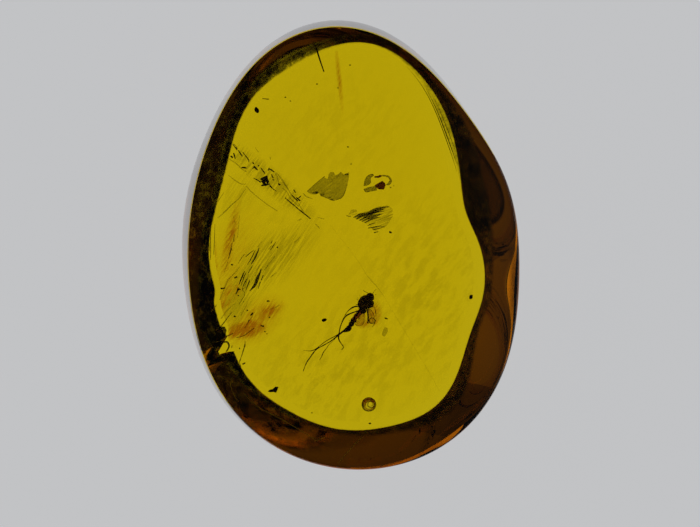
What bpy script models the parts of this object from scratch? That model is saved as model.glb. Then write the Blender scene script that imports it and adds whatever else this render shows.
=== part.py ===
"""An oval pebble of polished amber, 28 mm long, with a gnat and scraps of plant sealed inside it.

The back is ground flat, the underside leans out from it to the girdle, a short wall stands on the
girdle, and a low dome closes the face. The resin set in two flows: the pebble is parted in two where
they meet, and every inclusion lies on that plane in a pocket of its own.

+Z points out of the face, +Y along the pebble, and the origin is under its middle, on the back.
"""

import math
import random

import bmesh
import bpy
import numpy as np

MM = 0.001

# Plan of the pebble: distances in mm from its middle, anticlockwise from +X, evenly spaced.
GIRDLE = (10.41, 10.47, 11.72, 14.02, 13.08, 11.19, 10.66, 11.50, 13.21, 14.05, 13.55, 11.62)
BACK = (
    6.95, 6.50, 6.85, 7.66, 9.12, 11.30, 12.28, 11.64, 10.90, 9.70, 8.66, 8.34,
    8.44, 8.47, 8.70, 9.55, 10.25, 10.65, 10.93, 10.86, 10.32, 8.83, 8.00, 7.52,
)
LEAN = (0.08, 0.10, 0.38, 0.69, 0.56, 0.58, 0.56, 0.44, 0.30, 0.14, 0.09, 0.08)
GIRDLE_Z = (4.6, 4.0, 3.2, 3.0, 2.85, 2.9, 3.0, 3.0, 3.4, 3.8, 4.2, 4.6)
RIDGE_Z = (5.9, 6.2, 7.2, 7.7, 7.7, 7.6, 7.6, 7.3, 6.8, 6.4, 6.0, 5.8)
BELLY = (1.15, 1.3, 1.6, 1.6, 1.6, 1.3, 1.15, 1.15, 1.15, 1.15, 1.15, 1.15)

TOP_Z = 8.6
BACK_EDGE = (0.30, 0.10)  # how far the back's rounded edge reaches in, and up
BACK_EDGE_CURVE = 2.2
WALL_CURVE = 1.12
DOME_CURVE = 2.6
RIDGE_DROP = 0.06
SIDES = 72
RING_GAP = 0.12  # the least between the parting plane and the next ring of the loft

FLOW_Z = 4.3  # where the two flows of resin meet
FLOW_GAP = 0.3  # kept between the halves, and around each inclusion

PLATE = 0.14  # thickness of the flat scraps of plant
WING = 0.06
BUBBLE = (0.99, -9.67, 0.34)  # middle and radius of the air bubble

# The gnat lies on its side, head towards +Y. Points are x, y and height over the flow plane.
THORAX = (0.70, -3.66, 0.0)
HEAD = (1.05, -3.22, 0.02)
BODY_TURN = math.radians(52)
ABDOMEN = ((0.55, -3.98), (0.31, -4.30), (0.10, -4.62), (-0.09, -4.93), (-0.27, -5.22), (-0.52, -5.34))
ABDOMEN_RADIUS = (0.17, 0.21, 0.20, 0.18, 0.15, 0.05)
WINGS = (
    ((0.50, -4.02), (0.74, -4.20), (0.82, -4.52), (0.70, -4.80), (0.46, -4.93), (0.28, -4.86), (0.32, -4.40)),
    ((0.86, -3.86), (1.12, -4.08), (1.22, -4.42), (1.10, -4.72), (0.86, -4.84), (0.74, -4.66), (0.76, -4.20)),
)
WING_Z = (0.10, -0.12)
LEGS = {
    "hind_near": ((0.48, -4.00, 0.1), (0.06, -4.62, 0.24), (-0.49, -5.21, 0.2), (-1.04, -5.63, 0.15),
                  (-1.84, -6.13, 0.1), (-2.43, -6.64, 0.05), (-2.68, -7.01, 0.0), (-2.93, -7.65, -0.05)),
    "hind_far": ((0.52, -3.92, -0.1), (0.00, -4.72, -0.24), (-0.78, -5.36, -0.15), (-1.46, -5.62, -0.05),
                 (-2.17, -6.22, 0.0), (-2.47, -6.36, -0.1), (-2.89, -6.32, -0.15)),
    "middle_near": ((0.45, -3.90, 0.15), (-0.28, -4.28, 0.3), (-0.70, -4.87, 0.3), (-0.86, -5.50, 0.3),
                    (-0.70, -5.96, 0.25), (-0.49, -6.17, 0.2), (-0.66, -6.38, 0.2)),
    "middle_far": ((0.42, -3.76, -0.1), (-0.16, -3.94, -0.25), (-0.50, -4.24, -0.3), (-0.66, -4.90, -0.32),
                   (-1.04, -5.62, -0.3), (-1.54, -6.30, -0.3), (-1.79, -6.58, -0.25), (-1.96, -6.95, -0.2)),
    "fore_near": ((0.92, -3.72, 0.1), (0.99, -4.20, 0.28), (0.95, -4.50, 0.3), (0.94, -4.80, 0.25)),
    "fore_far": ((1.12, -3.62, -0.1), (1.30, -4.13, -0.2), (1.40, -4.42, -0.25), (1.30, -4.72, -0.25),
                 (1.12, -4.90, -0.2)),
}
ANTENNAE = (
    ((1.12, -3.06, 0.05), (1.24, -2.86, 0.12), (1.42, -2.76, 0.15)),
    ((1.22, -3.16, -0.05), (1.44, -3.02, -0.1), (1.56, -2.86, -0.12)),
)
LEG_RADIUS = (0.055, 0.030)  # at the hip and at the foot
FEELER_RADIUS = (0.035, 0.022)
GNAT_POCKET = (
    (-3.40, -8.05), (-2.45, -8.05), (-1.45, -7.35), (-0.15, -6.90), (0.25, -5.75), (1.05, -5.40),
    (1.85, -5.10), (2.00, -3.40), (1.95, -2.50), (0.85, -2.50), (-0.10, -3.20), (-1.05, -4.20),
    (-1.45, -5.05), (-2.60, -5.75), (-3.40, -6.00),
)
GNAT_POCKET_DEPTH = 0.85

BUD_SCALE = (
    (-2.71, 3.27), (-1.68, 4.19), (-1.64, 4.08), (-1.47, 4.10), (-1.41, 4.34), (-1.11, 4.44),
    (-1.01, 4.30), (-0.70, 4.42), (-0.46, 4.32), (-0.18, 4.42), (-0.28, 3.74), (-0.42, 3.25),
    (-0.62, 2.88), (-1.11, 2.70), (-1.43, 2.80), (-1.92, 3.01), (-2.49, 3.07),
)
HUSK = (
    (0.67, 3.58), (0.83, 4.15), (1.10, 4.31), (1.37, 4.20), (1.80, 4.19), (2.15, 4.16),
    (2.26, 3.89), (2.04, 3.55), (1.88, 3.36), (1.38, 3.29), (0.91, 3.19), (0.75, 3.35),
)
HUSK_HOLE = ((1.10, 4.06), (1.34, 4.06), (1.86, 3.96), (1.73, 3.86), (1.30, 3.70), (1.00, 3.66))
HUSK_CORE = (1.68, 3.60, 0.32)
BARK = (
    (-0.25, 1.80), (0.12, 1.77), (0.36, 1.94), (1.11, 2.16), (1.81, 2.32), (2.20, 2.16), (2.30, 1.60),
    (2.12, 1.08), (1.86, 0.86), (1.28, 0.70), (1.36, 0.92), (0.94, 1.08), (1.10, 1.30), (0.60, 1.36),
    (0.40, 1.50), (0.07, 1.62),
)
BARK_FIBRES = (
    ((0.10, 1.70), (0.92, 1.94), (1.81, 2.28)),
    ((0.32, 1.58), (1.03, 1.81), (1.78, 2.12)),
    ((0.52, 1.48), (1.11, 1.69), (1.75, 1.96)),
    ((1.00, 1.12), (1.42, 1.26), (1.95, 1.36)),
    ((1.36, 0.80), (1.64, 0.85), (1.95, 1.00)),
)
BRISTLE = ((-2.20, 12.06, 0.1), (-1.96, 11.27, 0.05), (-1.71, 10.53, 0.0))
CURLED_FLAKE = (-7.82, -6.25, 0.42, 0.20)  # middle, outer and inner radius
CRUMBS = {  # middle and half-length of each grain of bark and soil
    "crumb_seam": (-5.24, 3.95, 0.30),
    "crumb_left": (-1.69, -4.58, 0.17),
    "crumb_right": (1.91, -5.34, 0.16),
    "crumb_top": (-5.72, 8.23, 0.20),
    "crumb_low": (-4.81, -8.78, 0.30),
    "crumb_edge": (6.96, -3.20, 0.16),
    "crumb_small": (2.28, 0.73, 0.10),
}

for old in list(bpy.data.objects):
    bpy.data.objects.remove(old, do_unlink=True)


def collection(name):
    made = bpy.data.collections.new(name)
    bpy.context.scene.collection.children.link(made)
    return made


PARTS = collection("amber_with_gnat")
POCKETS = collection("pockets")
GNAT_PIECES = collection("gnat_pieces")
HUSK_PIECES = collection("husk_pieces")
BARK_PIECES = collection("bark_pieces")


def material(name, colour, roughness, transmission=0.0):
    made = bpy.data.materials.new(name)
    made.use_nodes = True
    shader = made.node_tree.nodes["Principled BSDF"]
    shader.inputs["Base Color"].default_value = (*colour, 1.0)
    shader.inputs["Roughness"].default_value = roughness
    shader.inputs["Metallic"].default_value = 0.0
    shader.inputs["Transmission Weight"].default_value = transmission
    shader.inputs["IOR"].default_value = 1.54
    return made


AMBER = material("amber", (0.72, 0.50, 0.03), 0.03, transmission=1.0)
CHITIN = material("gnat_chitin", (0.020, 0.012, 0.006), 0.45)
LEAF = material("dry_leaf", (0.24, 0.19, 0.02), 0.6)
WOOD = material("dark_bark", (0.05, 0.028, 0.012), 0.7)


def place(mesh, name, target, finish=None):
    """A new object for this mesh; in any collection but PARTS it is a helper."""
    made = bpy.data.objects.new(name, mesh)
    target.objects.link(made)
    if finish:
        mesh.materials.append(finish)
    if target is not PARTS:
        made.hide_render = True
        made.display_type = "WIRE"
    return made


def mesh_of(form, name):
    mesh = bpy.data.meshes.new(name)
    bmesh.ops.recalc_face_normals(form, faces=form.faces)
    form.to_mesh(mesh)
    form.free()
    return mesh


def baked(curve, name, target, finish=None, lift=0.0):
    """The curve's solid as a mesh object, its caps welded to its sides."""
    guide = bpy.data.objects.new(name + "_guide", curve)
    bpy.context.scene.collection.objects.link(guide)
    guide.location.z = lift * MM
    bpy.context.view_layer.update()
    solid = bpy.data.meshes.new_from_object(guide.evaluated_get(bpy.context.evaluated_depsgraph_get()))
    form = bmesh.new()
    form.from_mesh(solid)
    bmesh.ops.remove_doubles(form, verts=form.verts, dist=1e-7)
    bmesh.ops.transform(form, matrix=guide.matrix_world, verts=form.verts)
    bpy.data.objects.remove(guide, do_unlink=True)
    bpy.data.meshes.remove(solid)
    return place(mesh_of(form, name), name, target, finish)


def plate(name, outline, thickness, lift, target, finish=None, hole=None):
    """A flat scrap: its outline in mm, given half its thickness each way from its height."""
    curve = bpy.data.curves.new(name, "CURVE")
    curve.dimensions = "2D"
    curve.fill_mode = "BOTH"
    curve.extrude = thickness / 2 * MM
    for points in (outline, hole):
        if points:
            spline = curve.splines.new("POLY")
            spline.points.add(len(points) - 1)
            spline.use_cyclic_u = True
            for point, (x, y) in zip(spline.points, points):
                point.co = (x * MM, y * MM, 0.0, 1.0)
    return baked(curve, name, target, finish, lift)


def tube(name, points, radii, target, finish=None):
    """A thin round limb through these points, with a radius at each of them."""
    curve = bpy.data.curves.new(name, "CURVE")
    curve.dimensions = "3D"
    curve.bevel_depth = MM
    curve.bevel_resolution = 1
    curve.use_fill_caps = True
    spline = curve.splines.new("POLY")
    spline.points.add(len(points) - 1)
    for point, (x, y, z), radius in zip(spline.points, points, radii):
        point.co = (x * MM, y * MM, (FLOW_Z + z) * MM, 1.0)
        point.radius = radius
    return baked(curve, name, target, finish)


def ball(name, middle, half, turn, target, finish=None, detail=(16, 10)):
    """An ellipsoid: middle and half-axes in mm, turned about Z."""
    form = bmesh.new()
    bmesh.ops.create_uvsphere(form, u_segments=detail[0], v_segments=detail[1], radius=MM)
    bmesh.ops.scale(form, vec=half, verts=form.verts)
    mesh = mesh_of(form, name)
    made = place(mesh, name, target, finish)
    made.location = (middle[0] * MM, middle[1] * MM, (FLOW_Z + middle[2]) * MM)
    made.rotation_euler.z = turn
    return made


def boolean(target, operation, others):
    change = target.modifiers.new(operation.lower(), "BOOLEAN")
    change.operation = operation
    change.solver = "EXACT"
    change.operand_type = "COLLECTION"
    change.collection = others


def spread(first, last, count):
    return [first + (last - first) * i / (count - 1) for i in range(count)]


def pocket(name, x, y, half_x, half_y, half_z, turn=0.0):
    ball("pocket_" + name, (x, y, 0.0), (half_x, half_y, half_z), turn, POCKETS, detail=(14, 8))


# Stone: closed curves of even spacing give each distance at every side of the loft.

ANGLES = np.linspace(0.0, 2 * math.pi, SIDES, endpoint=False)


def around(values):
    """The smooth closed curve through evenly spaced values, read at each side."""
    terms = np.fft.rfft(values) / len(values)
    total = np.full(SIDES, terms[0].real)
    for order, term in enumerate(terms[1:], start=1):
        weight = 1 if 2 * order == len(values) else 2
        total += weight * (term * np.exp(1j * order * ANGLES)).real
    return total


girdle = around(GIRDLE)
back = around(BACK)
lean = around(LEAN)
girdle_z = around(GIRDLE_Z)
ridge_z = around(RIDGE_Z)
belly = around(BELLY)
middle_x = (max(girdle * np.cos(ANGLES)) + min(girdle * np.cos(ANGLES))) / 2
middle_y = (max(girdle * np.sin(ANGLES)) + min(girdle * np.sin(ANGLES))) / 2


def ring(radius, height):
    """One ring of the loft, in metres, about the middle of the girdle's box."""
    x = (radius * np.cos(ANGLES) - middle_x) * MM
    y = (radius * np.sin(ANGLES) - middle_y) * MM
    return list(zip(x, y, np.broadcast_to(height * MM, x.shape)))


def back_edge(part):
    reach, rise = BACK_EDGE
    return ring(back - reach * (1 - part), rise * part**BACK_EDGE_CURVE)


def side(height):
    """A ring at this height, which may differ from side to side: the underside up to the girdle, then the wall."""
    rise = BACK_EDGE[1]
    under = np.clip((height - rise) / (girdle_z - rise), 0, 1)
    over = np.clip((height - girdle_z) / (ridge_z - RIDGE_DROP - girdle_z), 0, 1)
    return ring(back + (girdle - back) * (1 - (1 - under) ** belly) - lean * over**WALL_CURVE, height)


def dome(part):
    """A ring at this share of the ridge's radius."""
    return ring((girdle - lean) * part, ridge_z + (TOP_Z - ridge_z) * (1 - part**DOME_CURVE))


def loft(name, rings):
    """A closed solid through the rings, lowest first, with a flat cap at each end."""
    form = bmesh.new()
    loops = [[form.verts.new(point) for point in points] for points in rings]
    for low, high in zip(loops, loops[1:]):
        for i in range(SIDES):
            j = (i + 1) % SIDES
            form.faces.new((low[i], low[j], high[j], high[i]))
    form.faces.new(reversed(loops[0]))
    form.faces.new(loops[-1])
    mesh = mesh_of(form, name)
    made = place(mesh, name, PARTS, AMBER)
    mesh.shade_smooth()
    mesh.set_sharp_from_angle(angle=math.radians(30))
    return made


foot, low_face, high_face = BACK_EDGE[1], FLOW_Z - FLOW_GAP / 2, FLOW_Z + FLOW_GAP / 2
low_turn = np.minimum(girdle_z, low_face - RING_GAP)
high_turn = np.maximum(girdle_z, high_face + RING_GAP)
ridge_foot = ridge_z - RIDGE_DROP
lower_rings = [back_edge(0.0), back_edge(0.5)]
lower_rings += [side(foot + (low_turn - foot) * part) for part in spread(0.0, 1.0, 8)]
lower_rings += [side(low_face + 0 * girdle_z)]
upper_rings = [side(high_face + 0 * girdle_z)]
upper_rings += [side(high_turn + (ridge_foot - high_turn) * part) for part in (0.0, 0.4, 0.8, 1.0)]
upper_rings += [dome(part) for part in (0.985, 0.94, 0.87, 0.78, 0.66, 0.52, 0.36, 0.18)]
halves = [loft("amber_lower", lower_rings), loft("amber_upper", upper_rings)]

# Gnat: thorax and head, and the abdomen, wings, legs and feelers joined to them.

gnat = ball("gnat", THORAX, (0.46, 0.40, 0.40), BODY_TURN, PARTS, CHITIN)
ball("head", HEAD, (0.30, 0.27, 0.30), BODY_TURN, GNAT_PIECES)
tube("abdomen", [(x, y, 0.0) for x, y in ABDOMEN], ABDOMEN_RADIUS, GNAT_PIECES)
for number, (outline, height) in enumerate(zip(WINGS, WING_Z)):
    plate(f"wing_{number}", outline, WING, FLOW_Z + height, GNAT_PIECES)
for leg, points in LEGS.items():
    tube(leg, points, spread(*LEG_RADIUS, len(points)), GNAT_PIECES)
for number, points in enumerate(ANTENNAE):
    tube(f"feeler_{number}", points, spread(*FEELER_RADIUS, len(points)), GNAT_PIECES)
boolean(gnat, "UNION", GNAT_PIECES)
plate("pocket_gnat", GNAT_POCKET, 2 * GNAT_POCKET_DEPTH, FLOW_Z, POCKETS)

# Bud scale: one thin plate with a torn upper edge.

plate("bud_scale", BUD_SCALE, PLATE, FLOW_Z, PARTS, LEAF)
pocket("bud_scale", -1.42, 3.62, 1.95, 1.50, 0.60, math.radians(20))

# Seed husk: a split ring of shell, with the dark core still in its lower side.

husk = plate("seed_husk", HUSK, PLATE, FLOW_Z, PARTS, WOOD, hole=HUSK_HOLE)
core_x, core_y, core_half = HUSK_CORE
ball("core", (core_x, core_y, 0.0), (core_half, 0.24, 0.22), math.radians(-20), HUSK_PIECES, detail=(10, 6))
boolean(husk, "UNION", HUSK_PIECES)
pocket("husk", 1.48, 3.76, 1.30, 1.05, 0.62)

# Bark shred: a ragged plate with raised fibres along it.

bark = plate("bark_shred", BARK, PLATE, FLOW_Z, PARTS, WOOD)
for number, points in enumerate(BARK_FIBRES):
    tube(f"fibre_{number}", [(x, y, 0.05) for x, y in points], (0.05, 0.09, 0.05), BARK_PIECES)
boolean(bark, "UNION", BARK_PIECES)
pocket("bark", 1.12, 1.54, 2.00, 1.35, 0.62, math.radians(12))

# Bristle, curled flake and crumbs.

tube("bristle", BRISTLE, (0.05, 0.045, 0.03), PARTS, WOOD)
pocket("bristle", -1.96, 11.30, 1.25, 0.50, 0.50, math.radians(-72))

flake_x, flake_y, flake_out, flake_in = CURLED_FLAKE
arc = [math.radians(angle) for angle in spread(-60, 200, 10)]
crescent = [(flake_x + flake_out * math.cos(a), flake_y + flake_out * math.sin(a)) for a in arc]
crescent += [(flake_x + flake_in * math.cos(a), flake_y + flake_in * math.sin(a)) for a in reversed(arc)]
plate("curled_flake", crescent, 0.25, FLOW_Z, PARTS, WOOD)
pocket("flake", flake_x, flake_y, 0.85, 0.85, 0.60)


def crumb(name, x, y, half, seed):
    """A flattened grain with a broken surface."""
    chance = random.Random(seed)
    form = bmesh.new()
    bmesh.ops.create_icosphere(form, subdivisions=2, radius=MM)
    for vert in form.verts:
        vert.co *= chance.uniform(0.75, 1.1)
    bmesh.ops.scale(form, vec=(half, 0.7 * half, 0.6 * half), verts=form.verts)
    made = place(mesh_of(form, name), name, PARTS, WOOD)
    made.location = (x * MM, y * MM, FLOW_Z * MM)
    made.rotation_euler.z = chance.uniform(0.0, math.pi)
    reach = 1.1 * half + FLOW_GAP
    pocket(name, x, y, reach, reach, 0.66 * half + FLOW_GAP)


for seed, (name, (x, y, half)) in enumerate(CRUMBS.items()):
    crumb(name, x, y, half, seed)

# The bubble is a hollow with nothing in it, half in each flow.

bubble_x, bubble_y, bubble_r = BUBBLE
ball("bubble", (bubble_x, bubble_y, 0.0), (bubble_r,) * 3, 0.0, POCKETS)

# The inclusions' points are from the pebble's middle, and the pebble's box is centred on the origin.

for made in bpy.data.objects:
    if made not in halves:
        made.location.x -= middle_x * MM
        made.location.y -= middle_y * MM

for half in halves:
    boolean(half, "DIFFERENCE", POCKETS)
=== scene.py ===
"""The looks of a polished amber pebble with a gnat and scraps of plant sealed inside it.

The pebble lies on its ground back, its domed face up. It is seen by the light that comes through it
from the pale floor: yellow through the flat back, and brown where the sloping underside turns it away.
"""

import math
import random

import bpy
import numpy as np
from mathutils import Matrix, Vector, noise


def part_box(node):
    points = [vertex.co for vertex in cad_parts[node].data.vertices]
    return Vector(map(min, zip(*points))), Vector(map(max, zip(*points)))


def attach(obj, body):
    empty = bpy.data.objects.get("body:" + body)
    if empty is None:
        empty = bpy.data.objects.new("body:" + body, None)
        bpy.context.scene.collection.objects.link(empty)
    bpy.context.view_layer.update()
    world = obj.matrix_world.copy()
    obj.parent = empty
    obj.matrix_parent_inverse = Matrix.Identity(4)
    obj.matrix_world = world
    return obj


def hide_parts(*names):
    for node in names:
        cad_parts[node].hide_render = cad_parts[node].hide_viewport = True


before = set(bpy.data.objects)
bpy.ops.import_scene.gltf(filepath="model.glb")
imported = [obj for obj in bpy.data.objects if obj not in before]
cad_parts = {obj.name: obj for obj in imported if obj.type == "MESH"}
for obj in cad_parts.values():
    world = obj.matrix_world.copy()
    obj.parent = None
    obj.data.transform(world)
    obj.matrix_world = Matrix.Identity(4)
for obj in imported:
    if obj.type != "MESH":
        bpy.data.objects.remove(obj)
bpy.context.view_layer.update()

# Amber. The pebble is fossil resin, cut and polished all over, with a flat back, an underside that leans
# out to the girdle, a short wall and a low dome. The lower edge of the underside was ground by hand and
# left frosted. Here the resin is one clear piece, for the solids part it only where its two flows meet.

MM = 0.001
SIDES = 288
# Plan: distances in mm from the middle, anticlockwise from +X, evenly spaced.
GIRDLE = (10.41, 10.47, 11.72, 14.02, 13.08, 11.19, 10.66, 11.5, 13.21, 14.05, 13.55, 11.62)
BACK = (
    6.95, 6.5, 6.85, 7.66, 9.12, 11.3, 12.28, 11.64, 10.9, 9.7, 8.66, 8.34, 8.44, 8.47, 8.7, 9.55, 10.25,
    10.65, 10.93, 10.86, 10.32, 8.83, 8.0, 7.52,
)
LEAN = (0.08, 0.1, 0.38, 0.69, 0.56, 0.58, 0.56, 0.44, 0.3, 0.14, 0.09, 0.08)
RIDGE_Z = (5.9, 6.2, 7.2, 7.7, 7.7, 7.6, 7.6, 7.3, 6.8, 6.4, 6.0, 5.8)
BELLY = (1.15, 1.3, 1.6, 1.6, 1.6, 1.3, 1.15, 1.15, 1.15, 1.15, 1.15, 1.15)
TOP_Z = 8.6
GIRDLE_Z = (4.6, 4.0, 3.2, 3.0, 2.85, 2.9, 3.0, 3.0, 3.4, 3.8, 4.2, 4.6)
EDGE_IN, EDGE_UP = 0.3, 0.1  # how far the back's rounded edge reaches in, and up
BACK_EDGE_CURVE = 2.2
WALL_CURVE = 1.12
DOME_CURVE = 2.6
RIDGE_DROP = 0.06
# How far the frosted band runs up the underside from the back's outline, in mm, every 15 degrees.
GROUND = (
    0.95, 1.6, 1.6, 1.4, 0.75, 0.6, 0.7, 0.8, 0.8, 0.6, 0.5, 0.45, 0.6, 1.0, 1.35, 0.75, 0.45, 0.35, 0.4,
    0.6, 1.1, 0.8, 0.5, 0.6,
)
GROUND_FADE = 0.3  # mm over which the grinding starts and stops
FACET = 0.5  # a second, flatter edge stands this far outside the back's edge at the upper right
FACET_AT = (math.radians(57), math.radians(16))  # where round the pebble, and over what reach
FACET_FADE = 0.08
FACET_FROST = 0.7  # how frosted the facet is, where the band below it is 1
BAYS = (  # flakes lost at the lower left, where the back runs further out: how far, where, over what reach
    (0.35, math.radians(208), math.radians(8)), (0.9, math.radians(219.3), math.radians(2)),
)
WAVE = (0.01, 2.2)  # hand polishing leaves the underside wavy: by how much, and how long a wave is
WORN = (0.0, 0.0, 0.1, 0.0, 0.5, 0.8, 0.8, 0.7, 0.7, 0.2, 0.0, 0.0)  # how poor the underside's polish is
# How much red-brown weathered crust the polishing left on the wall, every 30 degrees.
CRUST = (1.0, 0.9, 0.6, 0.5, 0.6, 0.75, 0.85, 0.8, 0.7, 0.8, 1.0, 1.0)
RIND_AT = (math.radians(346), math.radians(12))  # where the crust is thickest, and over what reach
# Between which shares of the underside's height the crust's tint, its film and the thickest rind set in.
CRUST_SPREAD, FILM_SPREAD, RIND_SPREAD = (1 / 3, 2 / 3), (0.7, 0.825), (0.5, 0.625)
BACK_RINGS = (0.25, 0.5, 0.75, 0.92)  # the mesh's rings on the flat back, as shares of its reach
INSET_RINGS = (0.6, 0.5, 0.4)  # and close to its edge, in mm inside the outline
EDGE_RINGS, UNDERSIDE_RINGS, WALL_RINGS, DOME_RINGS = 10, 60, 20, 50
DOME_START = 0.995

angles = np.linspace(0.0, 2 * math.pi, SIDES, endpoint=False)


def around(values):
    """The smooth closed curve through evenly spaced values, read at each side."""
    terms = np.fft.rfft(values) / len(values)
    total = np.full(SIDES, terms[0].real)
    for order, term in enumerate(terms[1:], start=1):
        weight = 1 if 2 * order == len(values) else 2
        total += weight * (term * np.exp(1j * order * angles)).real
    return total


girdle, drawn, lean, belly = map(around, (GIRDLE, BACK, LEAN, BELLY))
girdle_z, ridge_z = map(around, (GIRDLE_Z, RIDGE_Z))
facet = FACET * np.exp(-(((angles - FACET_AT[0]) / FACET_AT[1]) ** 2))
back_line = drawn + sum(far * np.exp(-(((angles - place) / reach) ** 4)) for far, place, reach in BAYS)
back = back_line + facet
ground_reach = around(GROUND)
rim = girdle - lean
crust, worn = around(CRUST), np.clip(around(WORN), 0, 1)
rind = np.exp(-(((angles - RIND_AT[0]) / RIND_AT[1]) ** 2))
SKINS = ("ground", "crust", "worn", "rind")  # what the polisher left: each an amount at every point
rings = []  # from the back up


def ring(out, height, **amounts):
    """Notes a ring of the pebble: its distance out and height in mm, and the amounts of its skins."""
    parts = (out, height, *(amounts.get(name, 0.0) for name in SKINS))
    rings.append([np.broadcast_to(part, angles.shape) for part in parts])


def ramp(value, low, high):
    """0 up to low, 1 from high on, and even between them."""
    return np.clip((value - low) / (high - low), 0, 1)


def frosted(out):
    """How far the resin is ground here: in part over the facet, then fully, to where the grinding stopped."""
    on_facet = ramp(out - back_line, -FACET_FADE, FACET_FADE)
    start = FACET_FROST * on_facet + (1 - FACET_FROST) * ramp(out - back, 0, GROUND_FADE)
    return start * ramp(back + ground_reach - out, 0, GROUND_FADE)


def waves(share):
    """How far the polished underside stands in or out at this share of its height, in mm."""
    reach, length = WAVE
    turned = zip(girdle * np.cos(angles) / length, girdle * np.sin(angles) / length)
    return reach * 4 * share * (1 - share) * np.array([noise.noise((x, y, share)) for x, y in turned])


for share in BACK_RINGS:
    ring((back - EDGE_IN) * share, 0.0)
for inset in INSET_RINGS:
    ring(back - inset, 0.0, ground=frosted(back - inset))
for share in np.linspace(0, 1, EDGE_RINGS)[:-1]:
    out = back - EDGE_IN * (1 - share)
    ring(out, EDGE_UP * share**BACK_EDGE_CURVE, ground=frosted(out))
for share in np.linspace(0, 1, UNDERSIDE_RINGS):
    out = back + (girdle - back) * (1 - (1 - share) ** belly) + waves(share)
    film = np.maximum(crust * ramp(share, *FILM_SPREAD), rind * ramp(share, *RIND_SPREAD))
    ring(out, EDGE_UP + (girdle_z - EDGE_UP) * share, ground=frosted(out),
         crust=crust * ramp(share, *CRUST_SPREAD), worn=worn, rind=film)
for share in np.linspace(0, 1, WALL_RINGS)[1:]:
    height = girdle_z + (ridge_z - RIDGE_DROP - girdle_z) * share
    ring(girdle - lean * share**WALL_CURVE, height, crust=crust)
for share in np.linspace(DOME_START, 0.0, DOME_RINGS)[:-1]:
    ring(rim * share, ridge_z + (TOP_Z - ridge_z) * (1 - share**DOME_CURVE))


def nothing_selected():
    """An operator acts on all that is selected, so each piece starts from this."""
    if bpy.context.mode != "OBJECT":
        bpy.ops.object.mode_set(mode="OBJECT")
    bpy.ops.object.select_all(action="DESELECT")


# A ball's rings are drawn out to the pebble's, the lowest first, and its poles close the back and the dome.
nothing_selected()
bpy.ops.mesh.primitive_uv_sphere_add(segments=SIDES, ring_count=len(rings) + 1, radius=1.0)
amber = bpy.context.object
amber.name = "amber"
middle_x = (max(girdle * np.cos(angles)) + min(girdle * np.cos(angles))) / 2
middle_y = (max(girdle * np.sin(angles)) + min(girdle * np.sin(angles))) / 2
skins = {name: np.zeros(len(amber.data.vertices)) for name in SKINS}
for vert in amber.data.vertices:
    level = len(rings) - round(math.acos(max(-1.0, min(1.0, vert.co.z))) / math.pi * (len(rings) + 1))
    side = round(math.atan2(vert.co.y, vert.co.x) / (2 * math.pi) * SIDES) % SIDES
    if level < 0:
        out, height = 0.0, 0.0
    elif level == len(rings):
        out, height = 0.0, TOP_Z
    else:
        out, height, *amounts = (part[side] for part in rings[level])
        for values, amount in zip(skins.values(), amounts):
            values[vert.index] = amount
    x, y = out * math.cos(angles[side]), out * math.sin(angles[side])
    vert.co = ((x - middle_x) * MM, (y - middle_y) * MM, height * MM)
for name, values in skins.items():
    amber.data.attributes.new(name, "FLOAT", "POINT").data.foreach_set("value", values)

# The air bubble is a hollow in the resin: a ball joined to it, its faces turned to the air inside.
BUBBLE = ((0.99, -9.67, 4.3), (0.43, 0.43, 0.48))  # middle and half-lengths in mm
BUBBLE_LEAN = (math.radians(-14), math.radians(24), 0.0)


def edit(piece):
    """Puts this piece alone into edit mode, all of it selected."""
    nothing_selected()
    piece.select_set(True)
    bpy.context.view_layer.objects.active = piece
    bpy.ops.object.mode_set(mode="EDIT")
    bpy.ops.mesh.select_all(action="SELECT")


edit(amber)
bpy.ops.mesh.select_all(action="DESELECT")
(x, y, z), halves = BUBBLE
place = ((x - middle_x) * MM, (y - middle_y) * MM, z * MM)
bpy.ops.mesh.primitive_uv_sphere_add(segments=48, ring_count=24, radius=MM, scale=halves,
                                     location=place, rotation=BUBBLE_LEAN)
bpy.ops.mesh.flip_normals()
bpy.ops.object.mode_set(mode="OBJECT")
bpy.ops.object.shade_smooth_by_angle(angle=math.radians(30))

# Polished resin: clear, with a glossy face. Its depth takes the blue out of the light, and then the green.
AMBER_IOR = 1.54
AMBER_ABSORBS = ("FDF700", 700.0)  # colour kept by the resin, and how much it takes away per metre
SCUFFED = 0.34  # roughness where the polish is poorest
CRUST_TINT = "8E5226"
BAND_SHADE_TINT = "3C2E18"  # painted shade: darkens the resin where the band is fully ground


def linear(code):
    """An sRGB hex colour as linear RGBA."""
    parts = [int(code[i:i + 2], 16) / 255 for i in (0, 2, 4)]
    return (*(c / 12.92 if c <= 0.04045 else ((c + 0.055) / 1.055) ** 2.4 for c in parts), 1.0)


def new_finish(name, settings):
    """A material whose Principled shader has these settings."""
    finish = bpy.data.materials.new(name)
    finish.use_nodes = True
    for socket, value in dict(settings).items():
        finish.node_tree.nodes["Principled BSDF"].inputs[socket].default_value = value
    return finish


def add(finish, kind, settings=(), links=(), gives=0):
    """Adds a shader node: settings by name or input number, and what feeds it. Gives one of its outputs."""
    made = finish.node_tree.nodes.new("ShaderNode" + kind)
    for name, value in dict(settings).items():
        if isinstance(name, int) or name in made.inputs:
            made.inputs[name].default_value = value
        else:
            setattr(made, name, value)
    for name, source in dict(links).items():
        finish.node_tree.links.new(source, made.inputs[name])
    return made.outputs[gives]


def feed(finish, links):
    """Lets these outputs set sockets of a material's shader."""
    for socket, source in links.items():
        finish.node_tree.links.new(source, finish.node_tree.nodes["Principled BSDF"].inputs[socket])


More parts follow.
